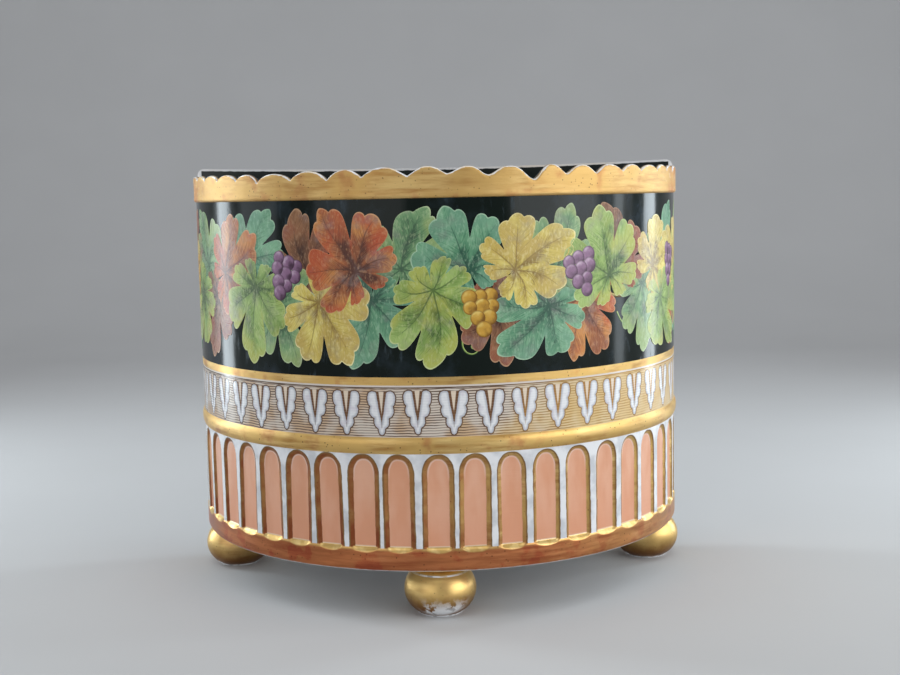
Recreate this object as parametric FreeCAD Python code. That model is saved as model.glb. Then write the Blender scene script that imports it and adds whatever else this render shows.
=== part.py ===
import FreeCAD
import Part
import math
import os

# A half-round bough pot: a moulded front wall, a flat back wall and a floor slab luted
# together on three ball feet, with a pierced cover that lies loose on a ledge inside the rim.
# Millimetres, +Z up, front at -Y. The origin is on the table, under the middle of the pot's box.

# Plan of the pot
wall_radius = 108.0
wall_thickness = 4.5
back_thickness = 4.0
back_edge_round = 1.4
luting_gap = 0.03

# Heights of the front wall's bands, from the bottom up
base_ring_height = 9.3
arcade_height = 37.5
moulding_height = 6.6
leaf_band_height = 20.4
gold_line_height = 3.0
frieze_height = 68.3
lip_height = 12.0

# How far each moulding stands out from the plain wall
base_ring_proud = 0.2
moulding_proud = 0.9
lip_proud = 1.0
base_ring_round = 1.6
lip_round = 1.2

# Scalloped rim
scallop_count = 22
scallop_depth = 3.5
rim_round = 0.9
rim_width = 2.2

# Flutes of the arcade
flute_count = 23
flute_width = 12.3
flute_depth = 1.0
flute_slope = 2.1
flute_margin = 0.4
flute_flare = 0.2

# Back wall's rim, above the scallops' tops
back_rise = 1.4
back_corner_rise = 1.7
back_corner_round = 3.0

# Floor slab and feet
floor_thickness = 4.5
foot_height = 20.0
foot_radius = 14.5
foot_rest_radius = 9.8
foot_neck_radius = 11.0
foot_neck_height = 1.6
foot_waist_radius = 9.6
front_foot_inset = 15.0
rear_foot_inset = 13.0
rear_foot_angle = 81.0

# Ledge and cover
ledge_drop = 6.5
ledge_width = 5.0
ledge_height = 5.0
ledge_chamfer = 2.5
cover_clearance = 1.0
cover_thickness = 4.0
cover_corner_round = 3.0
cover_edge_round = 0.8
bulb_hole_radius = 13.0
bulb_hole_ring = 50.0
bulb_hole_count = 3
bulb_hole_step = 58.0
stem_hole_radius = 6.0
stem_hole_ring = 84.0
stem_hole_count = 7
stem_hole_step = 22.0
collar_height = 6.5
collar_wall = 2.8

# How far a cutting block reaches past what it cuts, and how closely an edge's place is told
spare = 1.0
edge_tolerance = 0.01

# Heights and radii that follow from the sizes above
wall_bottom = foot_height
arcade_bottom = wall_bottom + base_ring_height
arcade_top = arcade_bottom + arcade_height
band_bottom = arcade_top + moulding_height
frieze_bottom = band_bottom + leaf_band_height + gold_line_height
lip_bottom = frieze_bottom + frieze_height
rim_top = lip_bottom + lip_height
valley_top = rim_top - scallop_depth
back_top = rim_top + back_rise + back_corner_rise
lip_radius = wall_radius + lip_proud
inner_radius = wall_radius - wall_thickness
ledge_top = lip_bottom - ledge_drop
floor_top = wall_bottom + floor_thickness

# The walls' arc is centred on the back wall's front face
pot_depth = lip_radius + back_thickness
arc_y = pot_depth / 2 - back_thickness

Z_AXIS = FreeCAD.Vector(0, 0, 1)
MIDDLE = FreeCAD.Vector(0, arc_y, 0)


def vec(x, y, z):
    return FreeCAD.Vector(x, y, z)


def line(start, end):
    return Part.LineSegment(start, end).toShape()


def arc(start, middle, end):
    return Part.Arc(start, middle, end).toShape()


def spin(wire, degrees):
    """Turn a section, drawn at radius x and height z beside the arc's axis, through an angle."""
    face = Part.Face(wire)
    face.translate(MIDDLE)
    return face.revolve(MIDDLE, Z_AXIS, degrees)


def plan_point(radius, angle, z):
    """A point on the plan. The angle is counted from the front, in degrees towards +X."""
    turn = math.radians(angle)
    return vec(radius * math.sin(turn), arc_y - radius * math.cos(turn), z)


def half_disc(radius, back_y, bottom, top):
    """A D-shaped block: a disc of the plan, cut off flat along back_y."""
    disc = Part.makeCylinder(radius, top - bottom, vec(0, arc_y, bottom))
    block = Part.makeBox(2 * radius, 2 * radius, top - bottom, vec(-radius, back_y - 2 * radius, bottom))
    return disc.common(block)


def wall_section():
    """Section of the front wall, from the bottom up its outside and down its inside."""
    ring = wall_radius + base_ring_proud
    swell = wall_radius + moulding_proud
    lip = lip_radius
    near = 1 - math.sqrt(0.5)
    corner = base_ring_round * near
    top_in = rim_round * near
    edges = [
        line(vec(inner_radius, 0, wall_bottom), vec(ring - base_ring_round, 0, wall_bottom)),
        arc(vec(ring - base_ring_round, 0, wall_bottom),
            vec(ring - corner, 0, wall_bottom + corner),
            vec(ring, 0, wall_bottom + base_ring_round)),
        line(vec(ring, 0, wall_bottom + base_ring_round), vec(ring, 0, arcade_bottom - base_ring_proud)),
        line(vec(ring, 0, arcade_bottom - base_ring_proud), vec(wall_radius, 0, arcade_bottom)),
        line(vec(wall_radius, 0, arcade_bottom), vec(wall_radius, 0, arcade_top)),
        arc(vec(wall_radius, 0, arcade_top),
            vec(swell, 0, (arcade_top + band_bottom) / 2),
            vec(wall_radius, 0, band_bottom)),
        line(vec(wall_radius, 0, band_bottom), vec(wall_radius, 0, lip_bottom)),
        arc(vec(wall_radius, 0, lip_bottom),
            vec(lip - lip_proud * near, 0, lip_bottom + lip_round * near),
            vec(lip, 0, lip_bottom + lip_round)),
        line(vec(lip, 0, lip_bottom + lip_round), vec(lip, 0, rim_top - rim_round)),
        arc(vec(lip, 0, rim_top - rim_round),
            vec(lip - top_in, 0, rim_top - top_in),
            vec(lip - rim_round, 0, rim_top)),
        line(vec(lip - rim_round, 0, rim_top), vec(lip - rim_width, 0, rim_top)),
        line(vec(lip - rim_width, 0, rim_top), vec(inner_radius, 0, lip_bottom)),
        line(vec(inner_radius, 0, lip_bottom), vec(inner_radius, 0, wall_bottom)),
    ]
    return Part.Wire(edges)


def scallop_tooth(angle):
    """A block whose top is one round scallop, standing right through the wall."""
    pitch = 180.0 / scallop_count
    reach = lip_radius + spare
    half = reach * math.tan(math.radians(pitch / 2))
    low = lip_bottom + lip_round
    depth = wall_thickness + lip_proud + 2 * spare
    outline = Part.Wire([
        line(vec(-half, 0, low), vec(half, 0, low)),
        line(vec(half, 0, low), vec(half, 0, valley_top)),
        arc(vec(half, 0, valley_top), vec(0, 0, rim_top), vec(-half, 0, valley_top)),
        line(vec(-half, 0, valley_top), vec(-half, 0, low)),
    ])
    tooth = Part.Face(outline).extrude(vec(0, depth, 0))
    tooth.translate(vec(0, arc_y - reach, 0))
    tooth.rotate(MIDDLE, Z_AXIS, angle)
    return tooth


def arch_wire(half, bottom, top, y):
    """An arch on a plane square to Y: straight sides and a half-round head."""
    spring = top - half
    return Part.Wire([
        line(vec(-half, y, bottom), vec(half, y, bottom)),
        line(vec(half, y, bottom), vec(half, y, spring)),
        arc(vec(half, y, spring), vec(0, y, top), vec(-half, y, spring)),
        line(vec(-half, y, spring), vec(-half, y, bottom)),
    ])


def flute_cutter(angle):
    """One recess of the arcade, with sloping sides and a flat floor."""
    half = flute_width / 2
    bottom = arcade_bottom + flute_margin
    top = arcade_top - flute_margin
    floor = arch_wire(half - flute_slope, bottom + flute_slope, top - flute_slope,
                      arc_y - wall_radius + flute_depth)
    mouth = arch_wire(half, bottom, top, arc_y - wall_radius)
    outside = arch_wire(half + flute_flare, bottom - flute_flare, top + flute_flare,
                        arc_y - wall_radius - flute_flare * flute_depth / flute_slope)
    cutter = Part.makeLoft([floor, mouth, outside], True, True)
    cutter.rotate(MIDDLE, Z_AXIS, angle)
    return cutter


def make_front_wall():
    """The moulded curved wall with its base ring, arcade, moulding and scalloped lip."""
    wall = spin(wall_section(), -180)
    root = half_disc(lip_radius + spare, arc_y, wall_bottom - spare, lip_bottom + lip_round + spare)
    pitch = 180.0 / scallop_count
    reach = scallop_count // 2
    teeth = [scallop_tooth(number * pitch) for number in range(-reach, reach + 1)]
    wall = wall.common(root.multiFuse(teeth))
    spacing = 180.0 / flute_count
    middle = (flute_count - 1) / 2
    flutes = [flute_cutter((number - middle) * spacing) for number in range(flute_count)]
    return wall.cut(flutes)


def make_back_wall():
    """The plain flat wall: wider at the lip, round at the top corners, its rim sagging in the middle."""
    half = lip_radius
    corner = back_corner_round
    cut = corner * (1 - math.sqrt(0.5))
    wide = lip_bottom + lip_height / 2
    y = arc_y + luting_gap
    outline = Part.Wire([
        line(vec(-wall_radius, y, wall_bottom), vec(wall_radius, y, wall_bottom)),
        line(vec(wall_radius, y, wall_bottom), vec(wall_radius, y, lip_bottom)),
        line(vec(wall_radius, y, lip_bottom), vec(half, y, wide)),
        line(vec(half, y, wide), vec(half, y, back_top - corner)),
        arc(vec(half, y, back_top - corner),
            vec(half - cut, y, back_top - cut),
            vec(half - corner, y, back_top)),
        arc(vec(half - corner, y, back_top),
            vec(0, y, back_top - back_corner_rise),
            vec(corner - half, y, back_top)),
        arc(vec(corner - half, y, back_top),
            vec(cut - half, y, back_top - cut),
            vec(-half, y, back_top - corner)),
        line(vec(-half, y, back_top - corner), vec(-half, y, wide)),
        line(vec(-half, y, wide), vec(-wall_radius, y, lip_bottom)),
        line(vec(-wall_radius, y, lip_bottom), vec(-wall_radius, y, wall_bottom)),
    ])
    slab = Part.Face(outline).extrude(vec(0, back_thickness - luting_gap, 0))
    behind = [edge for edge in slab.Edges
              if edge.BoundBox.YMin > arc_y + back_thickness - edge_tolerance
              and edge.BoundBox.ZMax > wall_bottom + edge_tolerance]
    return slab.makeFillet(back_edge_round, behind)


def make_base_slab():
    """The floor, a slab that fills the plan between the walls."""
    return half_disc(inner_radius - luting_gap, arc_y - luting_gap, wall_bottom, floor_top)


def ledge_section(outer):
    """Section of a ledge: flat on top and bevelled below."""
    inner = outer - ledge_width
    low = ledge_top - ledge_height
    return Part.Wire([
        line(vec(inner, 0, ledge_top), vec(outer, 0, ledge_top)),
        line(vec(outer, 0, ledge_top), vec(outer, 0, low)),
        line(vec(outer, 0, low), vec(outer - ledge_width + ledge_chamfer, 0, low)),
        line(vec(outer - ledge_width + ledge_chamfer, 0, low), vec(inner, 0, low + ledge_chamfer)),
        line(vec(inner, 0, low + ledge_chamfer), vec(inner, 0, ledge_top)),
    ])


def make_front_ledge():
    """The strip luted round the inside of the front wall, up to the back ledge."""
    strip = spin(ledge_section(inner_radius - luting_gap), -180)
    return strip.common(half_disc(inner_radius + spare, arc_y - ledge_width - 2 * luting_gap,
                                  ledge_top - ledge_height - spare, ledge_top + spare))


def make_back_ledge():
    """The straight strip luted along the inside of the back wall."""
    face = Part.Face(ledge_section(0))
    face.rotate(vec(0, 0, 0), Z_AXIS, 90)
    face.translate(vec(-wall_radius, arc_y - luting_gap, 0))
    bar = face.extrude(vec(2 * wall_radius, 0, 0))
    return bar.common(half_disc(inner_radius - luting_gap, arc_y, ledge_top - ledge_height - spare,
                                ledge_top + spare))


def make_foot(x, y):
    """A flattened ball foot with a short neck, turned about its own upright axis."""
    neck_bottom = foot_height - foot_neck_height
    neck_middle = foot_height - foot_neck_height / 2
    outline = Part.Wire([
        line(vec(0, 0, 0), vec(foot_rest_radius, 0, 0)),
        arc(vec(foot_rest_radius, 0, 0),
            vec(foot_radius, 0, neck_bottom / 2),
            vec(foot_waist_radius, 0, neck_bottom)),
        line(vec(foot_waist_radius, 0, neck_bottom), vec(foot_neck_radius, 0, neck_middle)),
        line(vec(foot_neck_radius, 0, neck_middle), vec(foot_neck_radius, 0, foot_height)),
        line(vec(foot_neck_radius, 0, foot_height), vec(0, 0, foot_height)),
        line(vec(0, 0, foot_height), vec(0, 0, 0)),
    ])
    foot = Part.Face(outline).revolve(vec(0, 0, 0), Z_AXIS, 360)
    foot.translate(vec(x, y, 0))
    return foot


def places_on_arc(radius, count, step):
    """Points on the cover's underside, spaced evenly on an arc about its middle."""
    middle = (count - 1) / 2
    return [plan_point(radius, (number - middle) * step, ledge_top) for number in range(count)]


def cover_places():
    """Centres of the bulb holes and of the stem holes, each on its own arc."""
    bulbs = places_on_arc(bulb_hole_ring, bulb_hole_count, bulb_hole_step)
    stems = places_on_arc(stem_hole_ring, stem_hole_count, stem_hole_step)
    return bulbs, stems


def make_cover_plate():
    """The D-shaped pierced plate that lies on the ledge."""
    radius = inner_radius - cover_clearance
    plate = half_disc(radius, arc_y - cover_clearance, ledge_top, ledge_top + cover_thickness)
    uprights = [edge for edge in plate.Edges
                if edge.BoundBox.ZLength > cover_thickness - edge_tolerance]
    plate = plate.makeFillet(cover_corner_round, uprights)
    around = [edge for edge in plate.Edges
              if edge.BoundBox.ZMin > ledge_top + cover_thickness - edge_tolerance]
    plate = plate.makeFillet(cover_edge_round, around)
    bulbs, stems = cover_places()
    start = vec(0, 0, -spare)
    height = cover_thickness + 2 * spare
    bores = [Part.makeCylinder(bulb_hole_radius, height, place + start) for place in bulbs]
    bores += [Part.makeCylinder(stem_hole_radius, height, place + start) for place in stems]
    return plate.cut(bores)


def make_collar(place):
    """A thrown collar luted on the cover round one bulb hole, with a rounded lip."""
    low = ledge_top + cover_thickness
    outer = bulb_hole_radius + collar_wall
    high = low + collar_height
    outline = Part.Wire([
        line(vec(bulb_hole_radius, 0, low), vec(outer, 0, low)),
        line(vec(outer, 0, low), vec(outer, 0, high - collar_wall / 2)),
        arc(vec(outer, 0, high - collar_wall / 2), vec(outer - collar_wall / 2, 0, high),
            vec(bulb_hole_radius, 0, high - collar_wall / 2)),
        line(vec(bulb_hole_radius, 0, high - collar_wall / 2), vec(bulb_hole_radius, 0, low)),
    ])
    collar = Part.Face(outline).revolve(vec(0, 0, 0), Z_AXIS, 360)
    collar.translate(vec(place.x, place.y, 0))
    return collar


def make_parts():
    rear_ring = wall_radius - rear_foot_inset
    left = plan_point(rear_ring, -rear_foot_angle, 0)
    right = plan_point(rear_ring, rear_foot_angle, 0)
    front = plan_point(wall_radius - front_foot_inset, 0, 0)
    bulbs, _ = cover_places()
    return {
        "front_wall": make_front_wall(),
        "back_wall": make_back_wall(),
        "base_slab": make_base_slab(),
        "front_ledge": make_front_ledge(),
        "back_ledge": make_back_ledge(),
        "foot_front": make_foot(front.x, front.y),
        "foot_left": make_foot(left.x, left.y),
        "foot_right": make_foot(right.x, right.y),
        "cover_plate": make_cover_plate(),
        "cover_collars": Part.Compound([make_collar(place) for place in bulbs]),
    }


os.makedirs("parts", exist_ok=True)
for node, shape in make_parts().items():
    shape.exportStep("parts/" + node + ".step")
    box = shape.BoundBox
    print(node, "valid", shape.isValid(), "solids", len(shape.Solids), "volume", round(shape.Volume),
          "x", round(box.XMin, 2), round(box.XMax, 2), "y", round(box.YMin, 2), round(box.YMax, 2),
          "z", round(box.ZMin, 2), round(box.ZMax, 2))
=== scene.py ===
import bmesh
import bpy
import math
import numpy as np
from mathutils import Matrix, Vector


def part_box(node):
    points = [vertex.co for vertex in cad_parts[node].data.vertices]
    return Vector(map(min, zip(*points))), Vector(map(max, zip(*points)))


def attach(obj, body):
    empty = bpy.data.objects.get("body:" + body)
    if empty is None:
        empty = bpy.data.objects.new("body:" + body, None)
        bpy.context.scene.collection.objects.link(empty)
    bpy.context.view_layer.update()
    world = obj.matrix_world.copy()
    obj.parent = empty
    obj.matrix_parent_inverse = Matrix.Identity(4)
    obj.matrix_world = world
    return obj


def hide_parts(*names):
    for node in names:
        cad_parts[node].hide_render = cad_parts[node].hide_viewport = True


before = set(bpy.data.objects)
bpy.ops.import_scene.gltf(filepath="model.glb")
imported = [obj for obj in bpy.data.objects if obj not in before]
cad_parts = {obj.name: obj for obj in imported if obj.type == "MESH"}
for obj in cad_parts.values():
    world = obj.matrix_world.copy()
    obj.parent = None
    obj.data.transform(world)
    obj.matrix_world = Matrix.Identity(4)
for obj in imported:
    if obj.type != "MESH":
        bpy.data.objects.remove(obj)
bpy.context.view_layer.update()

# Lengths are in millimetres up to the mesh helpers, which turn them into metres
MM = 0.001
# Edges that turn by more degrees than this are shaded as edges
SHARP = 35

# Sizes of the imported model
wall_low, wall_high = [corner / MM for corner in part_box("front_wall")]
ledge_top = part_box("front_ledge")[1].z / MM
SEAT_GAP = 0.03
LIP_RADIUS = wall_high.x
ARC_Y = wall_high.y
WALL_BOTTOM = wall_low.z
RIM_TOP = wall_high.z
INNER_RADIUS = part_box("base_slab")[1].x / MM + SEAT_GAP
BACK_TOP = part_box("back_wall")[1].z / MM
BACK_SAG = 1.7

# Bands of the front wall, from the bottom up, as in the part's source
LIP_PROUD = 1.0
WALL_RADIUS = LIP_RADIUS - LIP_PROUD
BASE_RING = 9.3
ARCADE = 37.5
MOULDING = 6.6
LEAF_BAND = 20.4
GOLD_LINE = 3.0
LIP = 12.0
ARCADE_LOW = WALL_BOTTOM + BASE_RING
ARCADE_HIGH = ARCADE_LOW + ARCADE
BAND_LOW = ARCADE_HIGH + MOULDING
BAND_HIGH = BAND_LOW + LEAF_BAND
FRIEZE_LOW = BAND_HIGH + GOLD_LINE
FRIEZE_HIGH = RIM_TOP - LIP
FRIEZE_MIDDLE = (FRIEZE_LOW + FRIEZE_HIGH) / 2
HALF_ARC = WALL_RADIUS * math.pi / 2


# Shape of the wall. arc is the length round it at WALL_RADIUS, from the middle of the front

def wander(x, seed, length):
    """A smooth wobble from -1 to 1 that turns about once in each length."""
    draw = np.random.default_rng(seed)
    total = np.zeros_like(np.asarray(x, float))
    for stretch, share in ((1.0, 0.5), (0.53, 0.3), (0.29, 0.2)):
        total += share * np.sin(2 * np.pi * (np.asarray(x) / (length * stretch) + draw.random()))
    return total


def wall_radius(arc, z):
    """The plain wall's radius, slightly uneven as a pressed wall is."""
    return WALL_RADIUS + 0.05 * wander(arc, 3, 61) + 0.04 * wander(z + 0.3 * arc, 4, 47)


def place(arc, radius, z):
    """Points of the model's frame from the arc, the radius and the height."""
    turn = np.asarray(arc) / WALL_RADIUS
    return np.stack([radius * np.sin(turn), ARC_Y - radius * np.cos(turn), z + 0 * turn], -1)


def arcs_of(count):
    return np.linspace(-HALF_ARC, HALF_ARC, count)


def turned(x, y, degrees):
    """A point turned clockwise about the origin."""
    side, up = math.sin(math.radians(degrees)), math.cos(math.radians(degrees))
    return x * up + y * side, y * up - x * side


# Objects and meshes

def add_object(name, data):
    made = bpy.data.objects.new(name, data)
    bpy.context.scene.collection.objects.link(made)
    return made


def new_piece(name, points, faces, materials):
    """A mesh object on the pot's body, from points in millimetres and lists of their numbers."""
    mesh = bpy.data.meshes.new(name)
    mesh.from_pydata((np.asarray(points, float) * MM).tolist(), [], faces)
    mesh.update()
    piece = add_object(name, mesh)
    for material in materials:
        mesh.materials.append(material)
    mesh.shade_smooth()
    mesh.set_sharp_from_angle(angle=math.radians(SHARP))
    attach(piece, "pot")
    return piece


def put(piece, name, values):
    """Keeps one number for each vertex under a name that materials read, or one vector."""
    values = np.asarray(values, np.float32).ravel()
    vectors = len(values) == 3 * len(piece.data.vertices)
    layer = piece.data.attributes.new(name, "FLOAT_VECTOR" if vectors else "FLOAT", "POINT")
    layer.data.foreach_set("vector" if vectors else "value", values)


def grid_faces(columns, rows, round_columns=False, round_rows=False):
    """Quads of a grid of columns by rows points, which can close on itself either way."""
    column, row = np.meshgrid(np.arange(columns if round_columns else columns - 1),
                              np.arange(rows if round_rows else rows - 1), indexing="ij")
    here, there, up = column * rows, (column + 1) % columns * rows, (row + 1) % rows
    return np.stack([here + row, there + row, there + up, here + up], -1).reshape(-1, 4).tolist()


def swept(name, arcs, sections, material):
    """A closed body swept round the wall: sections[column, point] holds radius and height."""
    columns, rows = sections.shape[:2]
    points = place(arcs[:, None] + 0 * sections[..., 0], sections[..., 0], sections[..., 1]).reshape(-1, 3)
    faces = grid_faces(columns, rows, round_rows=True)
    faces.append(list(range(rows - 1, -1, -1)))
    faces.append(list(range((columns - 1) * rows, columns * rows)))
    return new_piece(name, points, faces, [material])


def mark_inner(piece, sections, first):
    """Keeps 1 on the points of each section from number first on, which are the wall's inside."""
    inner = np.zeros(sections.shape[:2])
    inner[:, first:] = 1.0
    put(piece, "inner", inner)


def make_band(name, arcs, heights, outer, material):
    """A band of the wall whose outer face has many rows and whose inner face is plain.

    outer(arc, z) is a radius. Returns the piece, and arc and height of each of its points.
    """
    z = np.broadcast_to(heights, (len(arcs), len(heights)))
    radius = outer(arcs[:, None] + 0 * z, z)
    z = np.concatenate([z, z[:, -1:], z[:, :1]], 1)
    radius = np.pad(radius, ((0, 0), (0, 2)), constant_values=INNER_RADIUS)
    sections = np.stack([radius, z], -1)
    piece = swept(name, arcs, sections, material)
    mark_inner(piece, sections, len(heights))
    return piece, arcs[:, None] + 0 * z, z


# Materials

def linear(colour):
    """A colour from 0 to 255 as it looks on a screen, turned into the renderer's own scale."""
    share = np.array(colour) / 255
    return (*np.where(share <= 0.04045, share / 12.92, ((share + 0.055) / 1.055) ** 2.4), 1.0)


class Paint:
    """Builds one material's nodes. Every method returns the socket that it made."""

    def __init__(self, name):
        self.material = bpy.data.materials.new(name)
        self.material.use_nodes = True
        self.tree = self.material.node_tree
        self.shader = self.tree.nodes["Principled BSDF"]
        self.where = self.node("ShaderNodeTexCoord").outputs["Object"]

    def node(self, kind, **settings):
        made = self.tree.nodes.new(kind)
        for key, value in settings.items():
            setattr(made, key, value)
        return made

    def feed(self, socket, value):
        """Gives a socket another socket's value, a number, or a colour from 0 to 255."""
        if isinstance(value, bpy.types.NodeSocket):
            self.tree.links.new(value, socket)
        else:
            socket.default_value = linear(value) if isinstance(value, tuple) else value

    def math(self, operation, *values, clamp=False):
        made = self.node("ShaderNodeMath", operation=operation, use_clamp=clamp)
        for socket, value in zip(made.inputs, values):
            self.feed(socket, value)
        return made.outputs[0]

    def plus(self, total, *values):
        for value in values:
            total = self.math("ADD", total, value)
        return total

    def times(self, product, *values):
        for value in values:
            product = self.math("MULTIPLY", product, value)
        return product

    def minus(self, first, second):
        return self.math("SUBTRACT", first, second)

    def most(self, first, second):
        return self.math("MAXIMUM", first, second)

    def off(self, value, middle=0.0):
        """How far a value is from the middle."""
        return self.math("ABSOLUTE", self.minus(value, middle) if middle else value)

    def length(self, x, y):
        return self.math("SQRT", self.plus(self.times(x, x), self.times(y, y)))

    def swing(self, value, width, middle=0.5):
        """A value that lies about a middle, made to lie about 0 and times width."""
        return self.times(self.minus(value, middle), width)

    def step(self, value, low, high):
        """0 below low, 1 above high, smooth between. high may be the lower one."""
        made = self.node("ShaderNodeMapRange", interpolation_type="SMOOTHSTEP")
        falling = high < low
        for key, number in (("Value", value), ("From Min", min(low, high)), ("From Max", max(low, high)),
                            ("To Min", float(falling)), ("To Max", 1.0 - falling)):
            self.feed(made.inputs[key], number)
        return made.outputs["Result"]

    def mix(self, share, first, second):
        """A colour between two others."""
        made = self.node("ShaderNodeMix", data_type="RGBA")
        for number, value in ((0, share), (6, first), (7, second)):
            self.feed(made.inputs[number], value)
        return made.outputs[2]

    def coat(self, below, above, *shares):
        """A colour laid over another, as far as the product of the shares."""
        return self.mix(self.times(*shares), below, above)

    def blend(self, share, first, second):
        """A number between two others."""
        made = self.node("ShaderNodeMix", data_type="FLOAT")
        for number, value in ((0, share), (2, first), (3, second)):
            self.feed(made.inputs[number], value)
        return made.outputs[0]

    def read(self, name, output="Fac"):
        return self.node("ShaderNodeAttribute", attribute_name=name).outputs[output]

    def split(self, vector):
        made = self.node("ShaderNodeSeparateXYZ")
        self.feed(made.inputs[0], vector)
        return made.outputs

    def position(self):
        """The point's three coordinates in millimetres."""
        return [self.times(axis, 1 / MM) for axis in self.split(self.where)]

    def stretch(self, *scale):
        """The point with its coordinates scaled, for grain that runs one way."""
        made = self.node("ShaderNodeMapping")
        self.feed(made.inputs["Vector"], self.where)
        made.inputs["Scale"].default_value = scale
        return made.outputs[0]

    def texture(self, kind, size, vector, output, **settings):
        made = self.node(kind, **settings)
        self.feed(made.inputs["Vector"], self.where if vector is None else vector)
        made.inputs["Scale"].default_value = 1.0 / (size * MM)
        return made, made.outputs[output]

    def noise(self, size, detail=3.0, vector=None, rough=0.5):
        """Noise whose grain is about size millimetres."""
        made, out = self.texture("ShaderNodeTexNoise", size, vector, "Fac")
        made.inputs["Detail"].default_value = detail
        made.inputs["Roughness"].default_value = rough
        return out

    def patches(self, size, low, high, detail=3.0, **settings):
        return self.step(self.noise(size, detail, **settings), low, high)

    def spots(self, size, feature="F1"):
        """Distance to the nearest of points strewn size millimetres apart, or to their cells' edges."""
        return self.texture("ShaderNodeTexVoronoi", size, None, "Distance", feature=feature)[1]

    def bump(self, height, depth, strength=1.0):
        """Bump of a height from 0 to 1, depth millimetres deep."""
        made = self.node("ShaderNodeBump")
        made.inputs["Strength"].default_value = strength
        made.inputs["Distance"].default_value = depth * MM
        self.feed(made.inputs["Height"], height)
        return made.outputs[0]

    def set(self, **values):
        for key, value in values.items():
            self.feed(self.shader.inputs[key.replace("_", " ")], value)
        return self.material


# Colours as they look on a screen
GOLD_LIGHT = (232, 200, 132)
GOLD = (212, 174, 104)
GOLD_DEEP = (178, 132, 70)
COPPER = (190, 106, 66)
COPPER_DARK = (146, 68, 42)
WHITE_GLAZE = (230, 231, 233)
CREAM = (234, 222, 202)
BLACK_GLAZE = (5, 17, 12)
SALMON = (219, 156, 121)
SALMON_PALE = (226, 171, 141)
GRIME = (52, 36, 22)

# How far gilding is metal. That of the lip is thinner, that of the feet thicker
GILT_METAL = 0.75
LIP_METAL = 0.58
FOOT_METAL = 0.9


def gilt_colour(paint, copper=0.0):
    """Brushed gold, coppery where it is thin, with dark specks. Returns its strokes and roughness too."""
    strokes = paint.noise(7.0, 5.0, paint.stretch(0.3, 0.3, 3.0), 0.62)
    ribbed = paint.step(strokes, 0.3, 0.7)
    colour = paint.mix(ribbed, GOLD_DEEP, GOLD_LIGHT)
    colour = paint.coat(colour, GOLD, paint.patches(16.0, 0.35, 0.6, 2.0))
    red = paint.math("ADD", paint.times(paint.patches(9.0, 0.52, 0.74, 4.0), 0.5), copper, clamp=True)
    colour = paint.coat(colour, paint.mix(ribbed, COPPER_DARK, COPPER), red)
    colour = paint.coat(colour, GRIME, paint.step(paint.spots(1.9), 0.19, 0.08),
                        paint.patches(8.0, 0.42, 0.58, 1.0), 0.8)
    return colour, strokes, paint.plus(paint.times(strokes, 0.32), 0.23)


def gilding(name):
    paint = Paint(name)
    colour, strokes, rough = gilt_colour(paint)
    return paint.set(Base_Color=colour, Metallic=GILT_METAL, Roughness=rough,
                     Normal=paint.bump(strokes, 0.2, 0.5))


def white_ground(paint, cloud, whiten, apart, pit):
    """White glaze with creamy clouds and small dark pits. Returns its colour and roughness."""
    tint = paint.mix(paint.patches(cloud, 0.4, 0.7), WHITE_GLAZE, CREAM)
    colour = paint.coat(tint, WHITE_GLAZE, whiten)
    colour = paint.coat(colour, GRIME, paint.step(paint.spots(apart), pit, 0.03), 0.7)
    return colour, paint.blend(paint.noise(14.0), 0.1, 0.22)


def white_glaze(name):
    paint = Paint(name)
    colour, rough = white_ground(paint, 22.0, 0.7, 5.0, 0.06)
    return paint.set(Base_Color=colour, Roughness=rough, Normal=paint.bump(paint.noise(9.0, 2.0), 0.15, 0.5))


def inside_glaze(paint, colour, metal=0.0):
    """Paints the wall's inside, white below the ledge and black above. Returns colour and metal share."""
    z = paint.position()[2]
    inside = paint.mix(paint.step(z, ledge_top - 0.2, ledge_top + 0.3), WHITE_GLAZE, BLACK_GLAZE)
    share = paint.step(paint.read("inner"), 0.4, 0.6)
    return paint.mix(share, colour, inside), paint.blend(share, metal, 0.0)


def black_glaze(name, on_cover=False):
    paint = Paint(name)
    # Blue-grey clouds and rub marks on the black: partly a real dust film and wear, partly painted reflection
    # haze.
    scuff_and_sheen = paint.times(paint.patches(3.0, 0.54, 0.72, 5.0, vector=paint.stretch(1.0, 1.0, 0.3), rough=0.6),
                        paint.patches(17.0, 0.45, 0.65))
    colour = paint.coat(BLACK_GLAZE, (46, 58, 68), paint.patches(22.0, 0.48, 0.72, 5.0, rough=0.6), 0.6)
    colour = paint.coat(colour, (74, 88, 98), scuff_and_sheen, 0.45)
    colour = cover_lines(paint, colour) if on_cover else inside_glaze(paint, colour)[0]
    wave = paint.noise(11.0, 2.0, paint.stretch(1.0, 1.0, 0.5))
    fine = paint.noise(1.6, 2.0, paint.stretch(1.0, 1.0, 0.1))
    return paint.set(Base_Color=colour, Roughness=paint.blend(scuff_and_sheen, 0.12, 0.3), Specular_IOR_Level=0.21,
                     Normal=paint.bump(paint.plus(wave, paint.times(fine, 0.12)), 0.12, 0.5))


# Cover: gilt lines near its edge and round the stem holes, which lie on a ring 22 degrees apart

COVER_LINE_RADIUS = 96.5
COVER_LINE_BACK = 7.0
COVER_LINE_HALF = 0.7
STEM_RING = 84.0
STEM_PITCH = 22.0
STEM_LINE_RADIUS = 7.7
STEM_LAST = 77.5


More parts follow.
